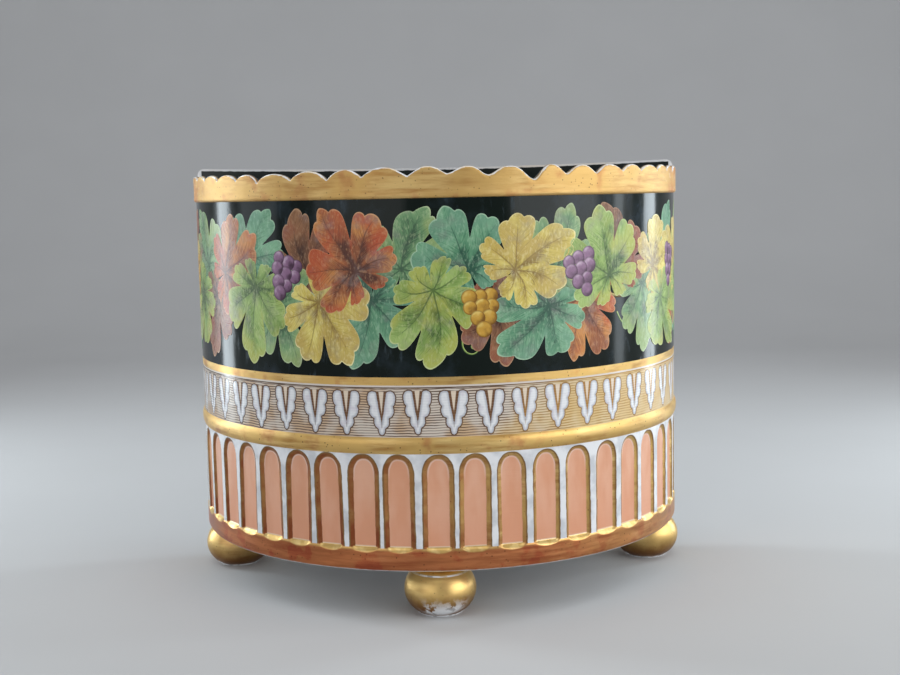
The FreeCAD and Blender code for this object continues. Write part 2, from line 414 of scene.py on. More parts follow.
def cover_lines(paint, colour):
    x, y, _ = paint.position()
    ahead = paint.minus(ARC_Y, y)
    reach = paint.length(x, ahead)
    edge = paint.math("MINIMUM", paint.minus(COVER_LINE_RADIUS, reach), paint.minus(ahead, COVER_LINE_BACK))
    line = paint.step(paint.off(edge), COVER_LINE_HALF + 0.1, COVER_LINE_HALF - 0.1)
    angle = paint.math("DEGREES", paint.math("ARCTAN2", x, ahead))
    fold = paint.math("FLOORED_MODULO", paint.plus(angle, STEM_PITCH / 2), STEM_PITCH)
    along = paint.times(paint.math("RADIANS", paint.minus(fold, STEM_PITCH / 2)), STEM_RING)
    hole = paint.length(along, paint.minus(reach, STEM_RING))
    ring = paint.times(paint.step(hole, STEM_LINE_RADIUS + 0.1, STEM_LINE_RADIUS - 0.1),
                       paint.step(paint.off(angle), STEM_LAST + 0.5, STEM_LAST - 0.5))
    return paint.coat(colour, gilt_colour(paint)[0], paint.most(line, ring))


# Front wall: scalloped lip

# Arc and drop from the rim's highest point of each top, then the drop of each valley between two tops
SCALLOP_TOPS = (
    (-164, 0.5), (-153, 0.7), (-139, 0.8), (-124.5, 0.9), (-110, 1.0), (-96, 1.1), (-81.7, 1.3), (-66, 1.4),
    (-49, 0.8), (-33.3, 0.6), (-18.2, 0.1), (-1.2, 0.0), (14.3, 0.2), (30.6, 0.4), (48, 0.0), (62.3, 0.3),
    (76.3, 0.1), (91, 0.1), (105.2, 0.3), (118.2, 0.1), (129.8, 0.3), (143, 0.2), (156, 0.3), (165, 0.3))
SCALLOP_VALLEYS = (2.8, 3.2, 3.0, 3.1, 3.4, 3.7, 5.0, 4.3, 4.6, 3.7, 3.5, 2.9, 3.6, 5.6, 3.7, 3.7, 2.8, 2.7,
                   2.6, 2.5, 2.8, 2.7, 2.5)
TOP_ROUNDNESS = 0.94
SOFT_MIDDLE = 28
SOFT_REACH = 50
LIP_LOW_ROUND = 1.2
LIP_FACE = LIP_RADIUS - 0.1
LIP_SWELL = 0.1
RIM_ROUND = 0.9
RIM_WIDTH = 2.2
RIM_BEVEL = 0.4


def scallop_height(arc):
    """Height of the hand-cut rim: round tops with sharp valleys, softer right of the middle."""
    tops, drops = np.array(SCALLOP_TOPS).T
    valleys = np.array(SCALLOP_VALLEYS)
    part = np.clip(np.searchsorted(tops, arc) - 1, 0, len(valleys) - 1)
    share = np.clip((arc - tops[part]) / (tops[part + 1] - tops[part]), 0, 1)
    bottom = 0.5 - 0.06 * np.sin(part * 2.3)
    on_left = share < bottom
    off = np.where(on_left, share / bottom, (1 - share) / (1 - bottom))
    top = np.where(on_left, drops[part], drops[part + 1])
    soft = 0.5 - 0.5 * np.cos(np.pi * off ** 1.3)
    sharp = (1 - np.sqrt(1 - (TOP_ROUNDNESS * off) ** 2)) / (1 - math.sqrt(1 - TOP_ROUNDNESS ** 2))
    softness = np.exp(-((arc - SOFT_MIDDLE) / SOFT_REACH) ** 2)
    return RIM_TOP - top - (valleys[part] - top) * (sharp * (1 - softness) + soft * softness)


def lip_inside(z):
    """Radius of the lip's sloping inner face."""
    return INNER_RADIUS + (LIP_RADIUS - RIM_WIDTH - INNER_RADIUS) * (z - FRIEZE_HIGH) / LIP


def make_lip(material):
    arcs = arcs_of(621)
    top = scallop_height(arcs)
    face_low, face_high = FRIEZE_HIGH + LIP_LOW_ROUND, top - RIM_ROUND
    profile = []
    for turn in np.radians((0, 22.5, 45, 67.5, 90)):
        profile.append((WALL_RADIUS + LIP_PROUD * math.sin(turn), face_low - LIP_LOW_ROUND * math.cos(turn)))
    for share in np.linspace(0, 1, 12)[1:]:
        swell = LIP_SWELL * wander(arcs, 21, 30) * math.sin(share * math.pi)
        profile.append((LIP_FACE + swell, face_low + (face_high - face_low) * share))
    for share in (0.33, 0.66, 1.0):
        turn = share * math.pi / 2
        profile.append((LIP_FACE - RIM_ROUND * (1 - math.cos(turn)), face_high + RIM_ROUND * math.sin(turn)))
    outer_count = len(profile)
    profile.append((lip_inside(top) + RIM_BEVEL, top - 0.1))
    for share in (0.0, 0.08, 0.18, 0.35, 0.6, 1.0):
        height = (top - 0.6) * (1 - share) + FRIEZE_HIGH * share
        profile.append((lip_inside(height), height))
    lines = [np.stack([radius + 0 * arcs, height + 0 * arcs], -1) for radius, height in profile]
    sections = np.stack(lines, 1)
    piece = swept("lip", arcs, sections, material)
    reach = np.hypot(arcs[:, None, None] - arcs, sections[..., 1:2] - top).min(-1)
    put(piece, "down", np.hypot(reach, LIP_RADIUS - RIM_BEVEL - sections[..., 0]))
    mark_inner(piece, sections, outer_count)
    return piece


def lip_material():
    """Thin gilding, worn off the rim, coppery and chipped at the wall's ends, with black glaze inside."""
    paint = Paint("lip_gilding")
    colour, strokes, rough = gilt_colour(paint)
    worn = paint.step(paint.plus(paint.read("down"), paint.swing(paint.noise(2.5), 1.1)), 0.62, 0.36)
    dark = paint.times(paint.step(paint.read("inner"), 0.1, 0.5), paint.minus(1.0, worn))
    bare = paint.most(worn, dark)
    ends = paint.times(paint.step(paint.off(paint.position()[0]), 94, 106), 0.6)
    colour = paint.coat(colour, GOLD_DEEP, 0.25)
    colour = paint.coat(colour, COPPER, ends, paint.patches(6.0, 0.35, 0.65))
    colour = paint.coat(colour, CREAM, ends, paint.patches(2.0, 0.6, 0.64, 4.0))
    colour = paint.coat(colour, paint.mix(paint.patches(4.0, 0.35, 0.6), CREAM, WHITE_GLAZE), worn)
    colour = paint.coat(colour, BLACK_GLAZE, dark)
    rough = paint.blend(bare, paint.plus(rough, 0.08), 0.2)
    return paint.set(Base_Color=colour, Metallic=paint.blend(bare, LIP_METAL, 0.0), Roughness=rough,
                     Normal=paint.bump(strokes, 0.25, 0.6))


def make_frieze(material):
    heights = np.linspace(FRIEZE_LOW, FRIEZE_HIGH, 41)
    return make_band("frieze_ground", arcs_of(361), heights, wall_radius, material)[0]


# Painted garland: vine leaves, grapes, stems and tendrils, laid on the frieze as thin enamel

LAYER = 0.035
VEIN_ANGLES = np.array((-151, -105, -52, 0, 52, 105, 151))
LEAF_SPOKES = 300
LEAF_RINGS = 10
LEAF_MARGIN = 3.0
END_MARGIN = 1.5
BERRY_SPOKES = 20
BERRY_RINGS = (0.45, 0.8, 1.0)
BERRY_SWELL = 0.02


class Enamel:
    """Gathers patches of raised enamel that follow the wall, and makes one piece of them."""

    def __init__(self):
        self.points, self.faces, self.slots, self.local, self.shade = [], [], [], [], []

    def add(self, arc, z, lift, faces, slot, local, shade):
        """lift is the height over the wall. local, up to three numbers, and shade are kept for the paint."""
        start = len(self.points)
        self.points += np.stack([arc, z, lift], -1).tolist()
        self.faces += [[corner + start for corner in face] for face in faces]
        self.slots += [slot] * len(faces)
        self.local += np.pad(local, ((0, 0), (0, 3 - local.shape[1]))).tolist()
        self.shade += np.broadcast_to(shade, len(local)).tolist()

    def make(self, name, materials):
        arc, z, lift = np.array(self.points).T
        piece = new_piece(name, place(arc, wall_radius(arc, z) + lift, z), self.faces, materials)
        piece.data.polygons.foreach_set("material_index", self.slots)
        put(piece, "local", self.local)
        put(piece, "shade", self.shade)
        return piece


def disc(bearings, shares, reach):
    """A disc whose points run from its middle outwards along each bearing, and then down to the wall.

    Returns x, y, each point's share of the reach, 1 for each point that is raised, and the faces.
    """
    spokes, rings = len(bearings), len(shares) + 1
    ends = np.append(shares, 1.0)
    away = np.append(0.0, (np.broadcast_to(reach, spokes)[:, None] * ends).ravel())
    bearing = np.append(0.0, np.repeat(bearings, rings))
    share = np.append(0.0, np.tile(ends, spokes))
    raised = np.append(1.0, np.tile([1.0] * len(shares) + [0.0], spokes))
    faces = []
    for spoke in range(spokes):
        here, after = 1 + spoke * rings, 1 + (spoke + 1) % spokes * rings
        faces.append((0, after, here))
        for ring in range(rings - 1):
            faces.append((here + ring, after + ring, after + ring + 1, here + ring + 1))
    return np.sin(bearing) * away, np.cos(bearing) * away, share, raised, faces


def kept(values, half, middle):
    """Moves values together until they lie within half of the middle."""
    return values - max(0.0, values.max() - middle - half) + max(0.0, middle - half - values.min())


def nearest_vein(angle):
    """Number of the main vein nearest to each direction, how far off it lies and how far it could be."""
    number = np.abs(angle[..., None] - VEIN_ANGLES).argmin(-1)
    off = angle - VEIN_ANGLES[number]
    halves = np.append(np.diff(VEIN_ANGLES) / 2, 180.0 - VEIN_ANGLES[-1])
    return number, off, np.where(off > 0, halves[number], np.roll(halves, 1)[number])


def leaf_reach(angle, seed):
    """Distance from stalk to edge, as a share of the leaf's size. angle is from the tip, in degrees."""
    draw = np.random.default_rng(seed)
    stretch = 1 + draw.uniform(-0.09, 0.09, len(VEIN_ANGLES))
    slits = draw.uniform(0.22, 0.42, len(VEIN_ANGLES) + 1)
    angle = np.clip(angle + 5 * wander(angle, seed + 1, 150.0), -180, 180)
    number, off, half = nearest_vein(angle)
    away = np.abs(angle)
    length = np.interp(away, (0, 52, 105, 151, 180), (1.14, 0.93, 0.66, 0.46, 0.4))
    rounding = np.sqrt(1 - (0.62 * np.abs(off) / half) ** 2)
    slit = slits[number + (off > 0)] * np.exp(-((half - np.abs(off)) / 3.6) ** 2)
    stalk = 0.8 * np.exp(-((180 - away) / 6.0) ** 2)
    teeth = 0.91 + 0.09 * np.abs(np.cos(np.radians(off) * 540 / (2 * half))) ** 0.6
    swell = 1 + (stretch[number] - 1) * np.exp(-(off / half) ** 4 * 1.2)
    return length * rounding * (1 - np.maximum(slit, stalk)) * teeth * swell


def add_leaf(enamel, arc, z, size, turn, layer, slot, seed):
    """turn is the tip's direction in degrees, clockwise from straight up."""
    angle = np.linspace(-180, 180, LEAF_SPOKES, endpoint=False)
    shares = np.linspace(0, 1, LEAF_RINGS + 1)[1:] ** 0.85
    x, y, share, raised, faces = disc(np.radians(angle), shares, leaf_reach(angle, seed) * size)
    draw = np.random.default_rng(seed)
    bend = draw.uniform(-0.25, 0.25)
    wide = draw.uniform(0.92, 1.08)
    bent_x = x * wide + bend * y * np.abs(y) / size
    bent_y = y - 0.12 * bent_x ** 2 / size
    across, upward = turned(bent_x, bent_y, turn)
    arcs = kept(arc + across, HALF_ARC - END_MARGIN, 0.0)
    heights = kept(z + upward, (FRIEZE_HIGH - FRIEZE_LOW) / 2 - LEAF_MARGIN, FRIEZE_MIDDLE)
    angle = np.degrees(np.arctan2(x, y))
    curved = angle * (1 + 0.2 * (1 - share)) + 7 * np.sin(4 * share + seed) * (1 - share)
    _, off, half = nearest_vein(np.clip(curved, -180, 180))
    reach = np.hypot(x, y) / size
    fold = np.radians(np.abs(off))
    veins = np.stack([reach * np.sin(fold), reach * np.cos(fold), np.sin(np.pi * off / half)], -1)
    enamel.add(arcs, heights, layer * LAYER * raised, faces, slot, veins, share)


def add_berry(enamel, arc, z, radius, layer, slot):
    bearings = np.linspace(0, 2 * np.pi, BERRY_SPOKES, endpoint=False)
    x, y, share, raised, faces = disc(bearings, BERRY_RINGS, 1.0)
    lifts = layer * LAYER * raised
    lifts[0] += BERRY_SWELL
    enamel.add(arc + x * radius, z + y * radius, lifts, faces, slot, np.stack([x, y], -1), share)


def add_grapes(enamel, arc, z, count, radius, turn, layer, slot, seed):
    """A hanging bunch: rows of berries that narrow to its tip."""
    draw = np.random.default_rng(seed)
    for row in range(count):
        number = max(1, count - row - (row == 0))
        for berry in range(number):
            x = (berry - (number - 1) / 2) * radius * 1.55 + draw.uniform(-0.2, 0.2) * radius
            y = row * radius * 1.4 + draw.uniform(-0.15, 0.15) * radius
            across, upward = turned(x, y, turn)
            add_berry(enamel, arc + across, z + upward, radius * draw.uniform(0.88, 1.08),
                      layer + 0.2 * row + 0.07 * berry, slot)


def add_stem(enamel, line, start_width, end_width, layer, slot):
    """A ribbon of enamel along points of arc and height, five points wide and raised in the middle."""
    count = len(line)
    run = np.gradient(line, axis=0)
    run /= np.linalg.norm(run, axis=1)[:, None]
    across = np.tile((-1.0, -0.9, 0.0, 0.9, 1.0), count)
    lift = np.tile((0.0, 1.0, 1.2, 1.0, 0.0), count) * layer * LAYER
    arc, z, away_arc, away_z, width, length = np.repeat(
        [*line.T, -run[:, 1], run[:, 0], np.linspace(start_width, end_width, count) / 2,
         np.linspace(0, 1, count)], 5, axis=1)
    enamel.add(arc + away_arc * width * across, z + away_z * width * across, lift,
               [face[::-1] for face in grid_faces(count, 5)], slot, np.stack([across, length], -1), 0.5)


def tendril(arc, z, turn, size, curl):
    """A line that leaves in the direction turn and winds up into a small coil."""
    share = np.linspace(0, 1, 46)
    bearing = np.radians(turn) + curl * (share ** 1.7) * 8.4
    pace = size * (1 - 0.72 * share) / len(share) * 2.1
    return np.stack([arc + np.cumsum(np.sin(bearing) * pace), z + np.cumsum(np.cos(bearing) * pace)], -1)


def leaf_paint(name, dark, middle, light, tip, rim):
    """Enamel of one leaf colour, with veins and brushed shading worked out from the leaf's own directions."""
    paint = Paint(name)
    across, along, side = paint.split(paint.read("local", "Vector"))
    rho = paint.read("shade")
    lean = paint.minus(along, paint.times(across, 1.25))
    ribs = paint.math("FRACT", paint.math("DIVIDE", lean, 0.14))
    stroke_place = paint.node("ShaderNodeCombineXYZ")
    for socket, value, scale in zip(stroke_place.inputs, (lean, across, side), (52.0, 9.0, 0.8)):
        paint.feed(socket, paint.times(value, scale))
    strokes = paint.noise(1000.0, 2.0, stroke_place.outputs[0])
    cloud = paint.noise(12.0)

    lit = paint.plus(paint.blend(paint.step(side, -0.7, 0.7), 0.66, 0.46), paint.swing(ribs, 0.1),
                     paint.swing(cloud, 2.0), paint.swing(strokes, 0.8), paint.swing(rho, 0.5, 0.55))
    lit = paint.math("SUBTRACT", lit, paint.times(paint.step(across, 0.09, 0.0), 0.14), clamp=True)
    colour = paint.coat(dark, middle, paint.step(lit, 0.0, 0.5))
    colour = paint.coat(colour, light, paint.step(lit, 0.45, 1.0))
    blush = paint.plus(paint.times(paint.noise(15.0, 2.0), 1.5), paint.times(rho, 0.45))
    colour = paint.coat(colour, tip, paint.step(blush, 0.96, 1.32), 0.85)
    colour = paint.coat(colour, (138, 128, 128), paint.patches(8.0, 0.48, 0.72, 4.0, rough=0.6), 0.42)
    dabs = paint.patches(0.9, 0.52, 0.66, 2.0, vector=paint.stretch(1.0, 1.0, 0.5))
    colour = paint.coat(colour, rim, dabs, 0.3)

    colour = paint.coat(colour, dark, paint.step(paint.off(ribs, 0.5), 0.075, 0.02),
                        paint.step(rho, 0.97, 0.7), paint.patches(5.0, 0.4, 0.6, 2.0), 0.5)
    main_vein = paint.step(paint.minus(across, paint.blend(rho, 0.013, 0.001)), 0.009, -0.004)
    colour = paint.coat(colour, dark, main_vein, paint.step(rho, 0.98, 0.8), 0.72)
    colour = paint.coat(colour, rim, paint.step(rho, 0.972, 0.988),
                        paint.blend(paint.step(cloud, 0.4, 0.6), 0.35, 0.9))
    return paint.set(Base_Color=colour, Roughness=paint.blend(strokes, 0.2, 0.38), Specular_IOR_Level=0.35,
                     Normal=paint.bump(strokes, 0.05, 0.4))


def berry_paint(name, dark, middle, light):
    """Enamel of a berry, lit from the upper left and dark at its edge."""
    paint = Paint(name)
    x, y, _ = paint.split(paint.read("local", "Vector"))
    lit = paint.plus(paint.times(x, -0.45), paint.times(y, 0.5), paint.swing(paint.noise(2.6), 1.5))
    colour = paint.coat(dark, middle, paint.step(lit, -0.7, 0.15))
    colour = paint.coat(colour, light, paint.step(lit, 0.1, 0.8))
    colour = paint.coat(colour, dark, paint.step(paint.read("shade"), 0.74, 1.0), 0.75)
    return paint.set(Base_Color=colour, Roughness=0.26, Specular_IOR_Level=0.35)


def stem_paint(name, dark, light):
    paint = Paint(name)
    across = paint.split(paint.read("local", "Vector"))[0]
    lit = paint.plus(across, paint.swing(paint.noise(3.0), 1.2))
    return paint.set(Base_Color=paint.coat(dark, light, paint.step(lit, -0.7, 0.7)), Roughness=0.25,
                     Specular_IOR_Level=0.4)


# Dark, middle, light, the second hue towards the edge, and the fine rim
LEAF_COLOURS = {
    "green": ((66, 92, 46), (122, 152, 78), (160, 186, 106), (176, 180, 88), (200, 210, 150)),
    "teal": ((44, 84, 66), (86, 138, 104), (128, 176, 138), (106, 152, 124), (172, 204, 172)),
    "rust": ((84, 44, 30), (148, 84, 48), (204, 138, 72), (184, 80, 46), (214, 164, 120)),
    "yellow": ((138, 112, 54), (204, 182, 88), (230, 216, 124), (192, 164, 88), (242, 232, 174)),
    "brown": ((68, 44, 34), (116, 78, 54), (152, 108, 74), (146, 76, 56), (188, 150, 116)),
    "sage": ((60, 90, 66), (104, 144, 100), (146, 178, 128), (150, 170, 106), (188, 206, 160)),
}
BERRY_COLOURS = {
    "mauve": ((72, 46, 66), (140, 104, 134), (198, 172, 192)),
    "gold": ((124, 84, 28), (200, 154, 62), (232, 204, 116)),
}
STEM_COLOURS = {"brown": ((86, 62, 26), (186, 164, 92)), "green": ((52, 86, 36), (176, 196, 112))}

# Layout, given one by one: arc, height over the frieze's middle, size, direction of the tip, colour
BACK_LEAVES = (
    (-152, 16, 24, 20, "brown"), (-146, -16, 24, 170, "teal"), (-118, 14, 24, -15, "sage"),
    (-108, -17, 23, 200, "brown"), (-84, 15, 24, 25, "teal"), (-66, -17, 24, 155, "sage"),
    (-50, 15, 23, -30, "brown"), (-24, -16, 24, 190, "teal"), (-12, 16, 23, 10, "sage"),
    (14, 17, 24, -25, "teal"), (24, -17, 23, 160, "brown"), (48, 15, 24, 30, "sage"),
    (62, -17, 24, 205, "rust"), (84, 16, 24, -10, "brown"), (98, -16, 24, 165, "sage"),
    (118, 15, 24, 20, "teal"), (132, -16, 23, 195, "rust"), (152, 14, 24, -20, "sage"),
    (156, -15, 22, 160, "teal"),
)
FRONT_LEAVES = (
    (-158, 1, 24, -80, "yellow"), (-128, -4, 26, 215, "green"), (-100, 5, 25, 70, "rust"),
    (-78, -6, 26, 190, "green"), (-46, -5, 26, 140, "yellow"), (-30, 9, 25, -35, "rust"),
    (0, -7, 26, 165, "green"), (32, 6, 25, 55, "yellow"), (46, -8, 25, 215, "teal"),
    (76, 2, 26, -15, "green"), (108, 4, 25, 60, "yellow"), (116, -9, 25, 150, "green"),
    (142, 3, 26, -45, "yellow"), (160, -3, 23, 175, "green"),
)
# Arc, height, radius of a berry, direction of the tip, colour
BUNCHES = ((-60, 17, 3.1, 200, "mauve"), (18, -6, 3.0, 175, "gold"), (60, 16, 3.1, 165, "mauve"),
           (-142, 14, 3.0, 170, "gold"), (130, 16, 3.0, 190, "mauve"))
BUNCH_ROWS = 4
# Arc, height, direction, size, and 1 or -1 for the way it winds
TENDRILS = ((-112, -14, 200, 15, 1), (-66, 22, -60, 16, -1), (-54, -20, 120, 14, 1), (0, 24, 40, 15, 1),
            (16, -22, 230, 13, -1), (80, -20, 150, 15, -1), (102, 22, 20, 14, 1), (150, 16, -30, 13, -1))
STEM_END = 166
BACK_LAYER = 2.0
FRONT_LAYER = 4.2
BUNCH_LAYER = 5.6


def make_garland():
    leaf_paints = [leaf_paint("leaf_" + name, *shades) for name, shades in LEAF_COLOURS.items()]
    stem_paints = [stem_paint("stem_" + name, *shades) for name, shades in STEM_COLOURS.items()]
    berry_paints = [berry_paint("berry_" + name, *shades) for name, shades in BERRY_COLOURS.items()]

    stems = Enamel()
    arc = np.linspace(-STEM_END, STEM_END, 300)
    wave = np.stack([arc, FRIEZE_MIDDLE + 5 * np.sin(arc / 19) + 2 * np.sin(arc / 7.3)], -1)
    add_stem(stems, wave, 1.5, 1.5, 1, 0)
    for at, height, turn, size, curl in TENDRILS:
        add_stem(stems, tendril(at, FRIEZE_MIDDLE + height * 0.6, turn, size * 1.5, curl), 0.9, 0.35, 1.3, 1)
    pieces = [stems.make("painted_stems", stem_paints)]

    for name, leaves, layer in (("painted_back_leaves", BACK_LEAVES, BACK_LAYER),
                                ("painted_front_leaves", FRONT_LEAVES, FRONT_LAYER)):
        enamel = Enamel()
        for number, (at, height, size, turn, colour) in enumerate(leaves):
            add_leaf(enamel, at, FRIEZE_MIDDLE + height, size, turn, layer + 0.9 * (number % 2),
                     list(LEAF_COLOURS).index(colour), 100 + number)
        pieces.append(enamel.make(name, leaf_paints))

    fruit = Enamel()
    for number, (at, height, radius, turn, colour) in enumerate(BUNCHES):
        add_grapes(fruit, at, FRIEZE_MIDDLE + height * 0.6, BUNCH_ROWS, radius, turn, BUNCH_LAYER,
                   list(BERRY_COLOURS).index(colour), 200 + number)
    return pieces + [fruit.make("painted_grapes", berry_paints)]


# Front wall: the leaf band with its gold line

LEAF_PAIRS = 24
LEAF_WIDTH = 10.9
LEAF_HEIGHT = 17.2
LEAF_FOOT = 0.9
CLEFT_FOOT = 0.27
CLEFT_TOP = 0.955
CLEFT_HALF = 0.36
HATCHING = 1.02


def leaf_outline():
    """A leaf pair's outline from its tip up its right side and down the cleft, then the same mirrored.

    Shares of half the width and of the height.
    """
    half = [(0.0, 0.0), (0.14, 0.025), (0.21, 0.08), (0.25, 0.155), (0.42, 0.19), (0.53, 0.26), (0.53, 0.34),
            (0.50, 0.39), (0.72, 0.42), (0.86, 0.50), (0.88, 0.58), (0.80, 0.655), (0.93, 0.70), (1.0, 0.79),
            (1.0, 0.89), (0.90, 0.97), (0.68, 1.0), (0.44, 0.99), (CLEFT_HALF, CLEFT_TOP), (0.26, 0.74),
            (0.15, 0.52)]
    return np.array(half + [(0.0, CLEFT_FOOT)] + [(-x, y) for x, y in half[:0:-1]])


def outline_distance(x, y, points):
    """Signed distance to a closed outline, positive inside."""
    best = np.full(x.shape, np.inf)
    inside = np.zeros(x.shape, bool)
    for start, end in zip(points, np.roll(points, -1, 0)):
        run = end - start
        share = np.clip(((x - start[0]) * run[0] + (y - start[1]) * run[1]) / (run @ run), 0, 1)
        best = np.minimum(best, np.hypot(x - start[0] - share * run[0], y - start[1] - share * run[1]))
        if run[1]:
            crosses = (start[1] > y) != (end[1] > y)
            inside ^= crosses & (x < start[0] + (y - start[1]) * run[0] / run[1])
    return np.where(inside, best, -best)


def make_leaf_band(material):
    heights = np.linspace(BAND_LOW, FRIEZE_LOW, 61)
    piece, arc, z = make_band("leaf_band", arcs_of(901), heights, wall_radius, material)
    pitch = 2 * HALF_ARC / LEAF_PAIRS
    number = np.floor(arc / pitch)
    lean = 0.25 * wander(number, 31, 2.7)
    half_width = LEAF_WIDTH / 2 * (1 + 0.06 * wander(number, 32, 3.3))
    x = (arc - (number + 0.5) * pitch - lean) / half_width
    y = (z - BAND_LOW - LEAF_FOOT - 0.4 * wander(number, 33, 3.9)) / LEAF_HEIGHT
    scale = np.array([LEAF_WIDTH / 2, LEAF_HEIGHT])
    cleft = CLEFT_HALF * np.clip((y - CLEFT_FOOT) / (CLEFT_TOP - CLEFT_FOOT), 0, 1.05)
    wedge = 0.18 * np.clip((y - 0.42) / 0.5, 0, 1.1)
    put(piece, "leaf", outline_distance(x * scale[0], y * scale[1], leaf_outline() * scale))
    put(piece, "between", (cleft - np.abs(x)) * scale[0])
    put(piece, "wedge", (wedge - np.abs(x)) * scale[0])
    put(piece, "height", z - BAND_LOW)
    put(piece, "share", y)
    return piece


def leaf_band_material():
    """White leaf pairs on hatching under a gold line; the hatching, outlines and ground turn brown to the
    left and gold to the right as painted sheen.
    """
    paint = Paint("leaf_band_painting")
    gilt, strokes, gilt_rough = gilt_colour(paint)
    height, leaf, between, wedge, share = map(paint.read, ("height", "leaf", "between", "wedge", "share"))
    # Painted sheen: the hatching, leaf outlines and ground are painted gold to the right, where light falls,
    # and brown to the left.
    right_sheen = paint.plus(paint.times(paint.position()[0], 0.009), paint.noise(25.0, 2.0))
    right_sheen = paint.step(right_sheen, 0.55, 1.0)
    line_colour = paint.mix(right_sheen, (84, 60, 44), (178, 134, 62))

    wobble = paint.swing(paint.noise(9.0, 2.0), 1.1)
    rows = paint.math("FRACT", paint.math("DIVIDE", paint.plus(height, wobble), HATCHING))
    lines = paint.step(paint.off(rows, 0.5), 0.27, 0.13)
    ground = paint.mix(paint.patches(12.0, 0.4, 0.62, 2.0), (216, 204, 190), (204, 174, 142))
    ground = paint.coat(ground, (224, 196, 128), right_sheen, 0.6)
    ground = paint.coat(ground, line_colour, lines, paint.blend(paint.patches(6.0, 0.35, 0.6), 0.6, 1.0))

    ragged = paint.swing(paint.noise(2.2, 2.0), 0.4)
    edge = paint.plus(leaf, ragged)
    white = paint.mix(paint.step(leaf, 0.1, 1.2), (186, 188, 194), WHITE_GLAZE)
    white = paint.coat(white, (206, 198, 208), paint.patches(4.0, 0.5, 0.7), 0.5)
    outline_colour = paint.coat((92, 62, 38), (176, 134, 66), right_sheen, 0.7)
    cleft = paint.times(paint.step(between, -0.1, 0.1), paint.step(share, 1.0, 0.98))
    colour = paint.coat(ground, outline_colour, paint.step(edge, -0.62, -0.25))
    colour = paint.coat(colour, paint.mix(0.3, line_colour, (150, 100, 56)), cleft)
    colour = paint.coat(colour, (226, 208, 186), cleft, paint.step(wedge, 0.0, 0.25))
    colour = paint.coat(colour, white, paint.step(edge, -0.05, 0.12))
    vein = paint.times(paint.step(between, -0.3, -0.1), paint.step(share, 0.13, 0.2),
                       paint.step(share, CLEFT_FOOT + 0.03, CLEFT_FOOT))
    colour = paint.coat(colour, line_colour, vein, 0.6)

    top = LEAF_BAND - 0.1
    gold = paint.step(paint.plus(height, paint.times(ragged, 0.4)), top - 0.1, top + 0.05)
    colour = paint.coat(colour, line_colour, paint.step(height, top - 1.2, top - 1.05))
    colour = paint.coat(colour, (216, 206, 196), paint.step(height, top - 0.8, top - 0.65))
    colour = paint.coat(colour, gilt, gold)
    colour, metal = inside_glaze(paint, colour, paint.times(gold, GILT_METAL))
    puff = paint.times(paint.step(leaf, -0.2, 1.6), 0.8)
    return paint.set(Base_Color=colour, Metallic=metal,
                     Roughness=paint.blend(gold, paint.blend(lines, 0.14, 0.3), gilt_rough),
                     Normal=paint.bump(paint.plus(puff, strokes), 0.18, 0.5))


# Front wall: half-round gilt moulding

MOULDING_PROUD = 0.82
MOULDING_UNEVEN = 0.08


def moulding_radius(arc, z):
    share = (z - ARCADE_HIGH) / MOULDING * 2 - 1
    bulge = np.maximum(0, 1 - np.abs(share) ** 2.6)
    return WALL_RADIUS + (MOULDING_PROUD + MOULDING_UNEVEN * wander(arc, 41, 44)) * bulge


def make_moulding(material):
    heights = np.linspace(ARCADE_HIGH, BAND_LOW, 25)
    return make_band("moulding", arcs_of(541), heights, moulding_radius, material)[0]


# Front wall: arcade of flutes over the base ring

FLUTES = 23
FLUTE_WIDTH = 12.4
FLUTE_DEPTH = 1.0
FLUTE_HOLLOW = 0.12
FLUTE_SLOPE = 2.0
FLUTE_HEAD = 8.0
FLUTE_FLOOR = FLUTE_WIDTH / 2 - FLUTE_SLOPE
FLUTE_FOOT = -90.0
FLUTE_TOP_GAP = 0.25
SCOOP_DEPTH = 1.6
RING_PROUD = 0.2
RING_ROUND = 1.6


def flute_outline():
    """An arch in millimetres, its head a full half oval, its top at zero and its foot far below."""
    turn = np.linspace(0, np.pi, 41)
    x = np.sign(np.cos(turn)) * np.abs(np.cos(turn)) ** 0.9 * FLUTE_WIDTH / 2
    z = (np.sin(turn) ** 0.95 - 1) * FLUTE_HEAD
    foot = np.array([(FLUTE_WIDTH / 2, FLUTE_FOOT)])
    return np.concatenate([foot, np.stack([x, z], -1), foot * (-1, 1)])


def flute_place(arc, z):
    """Signed distance to the nearest flute's edge, positive inside, and the arc length from its middle."""
    pitch = 2 * HALF_ARC / FLUTES
    number = np.round(arc / pitch)
    lean = 0.7 * wander(number, 51, 2.3)
    shift = 0.3 * wander(number, 52, 3.1)
    width = 1 + 0.035 * wander(number, 53, 2.9)
    wide_rib = 0.45 * (number == 0) - 0.55 * (number == -1)
    rise = (z - ARCADE_LOW) / ARCADE
    x = (arc - number * pitch - shift - wide_rib - lean * (rise - 0.5)) / width
    return outline_distance(x, z - ARCADE_HIGH + FLUTE_TOP_GAP, flute_outline()), x


def scoop_reach(x):
    """How far below the ring's top edge the flute's floor runs out, in a shallow curve."""
    return SCOOP_DEPTH * np.sqrt(np.clip(1 - (x / (FLUTE_FLOOR + 0.8)) ** 2, 0, 1))


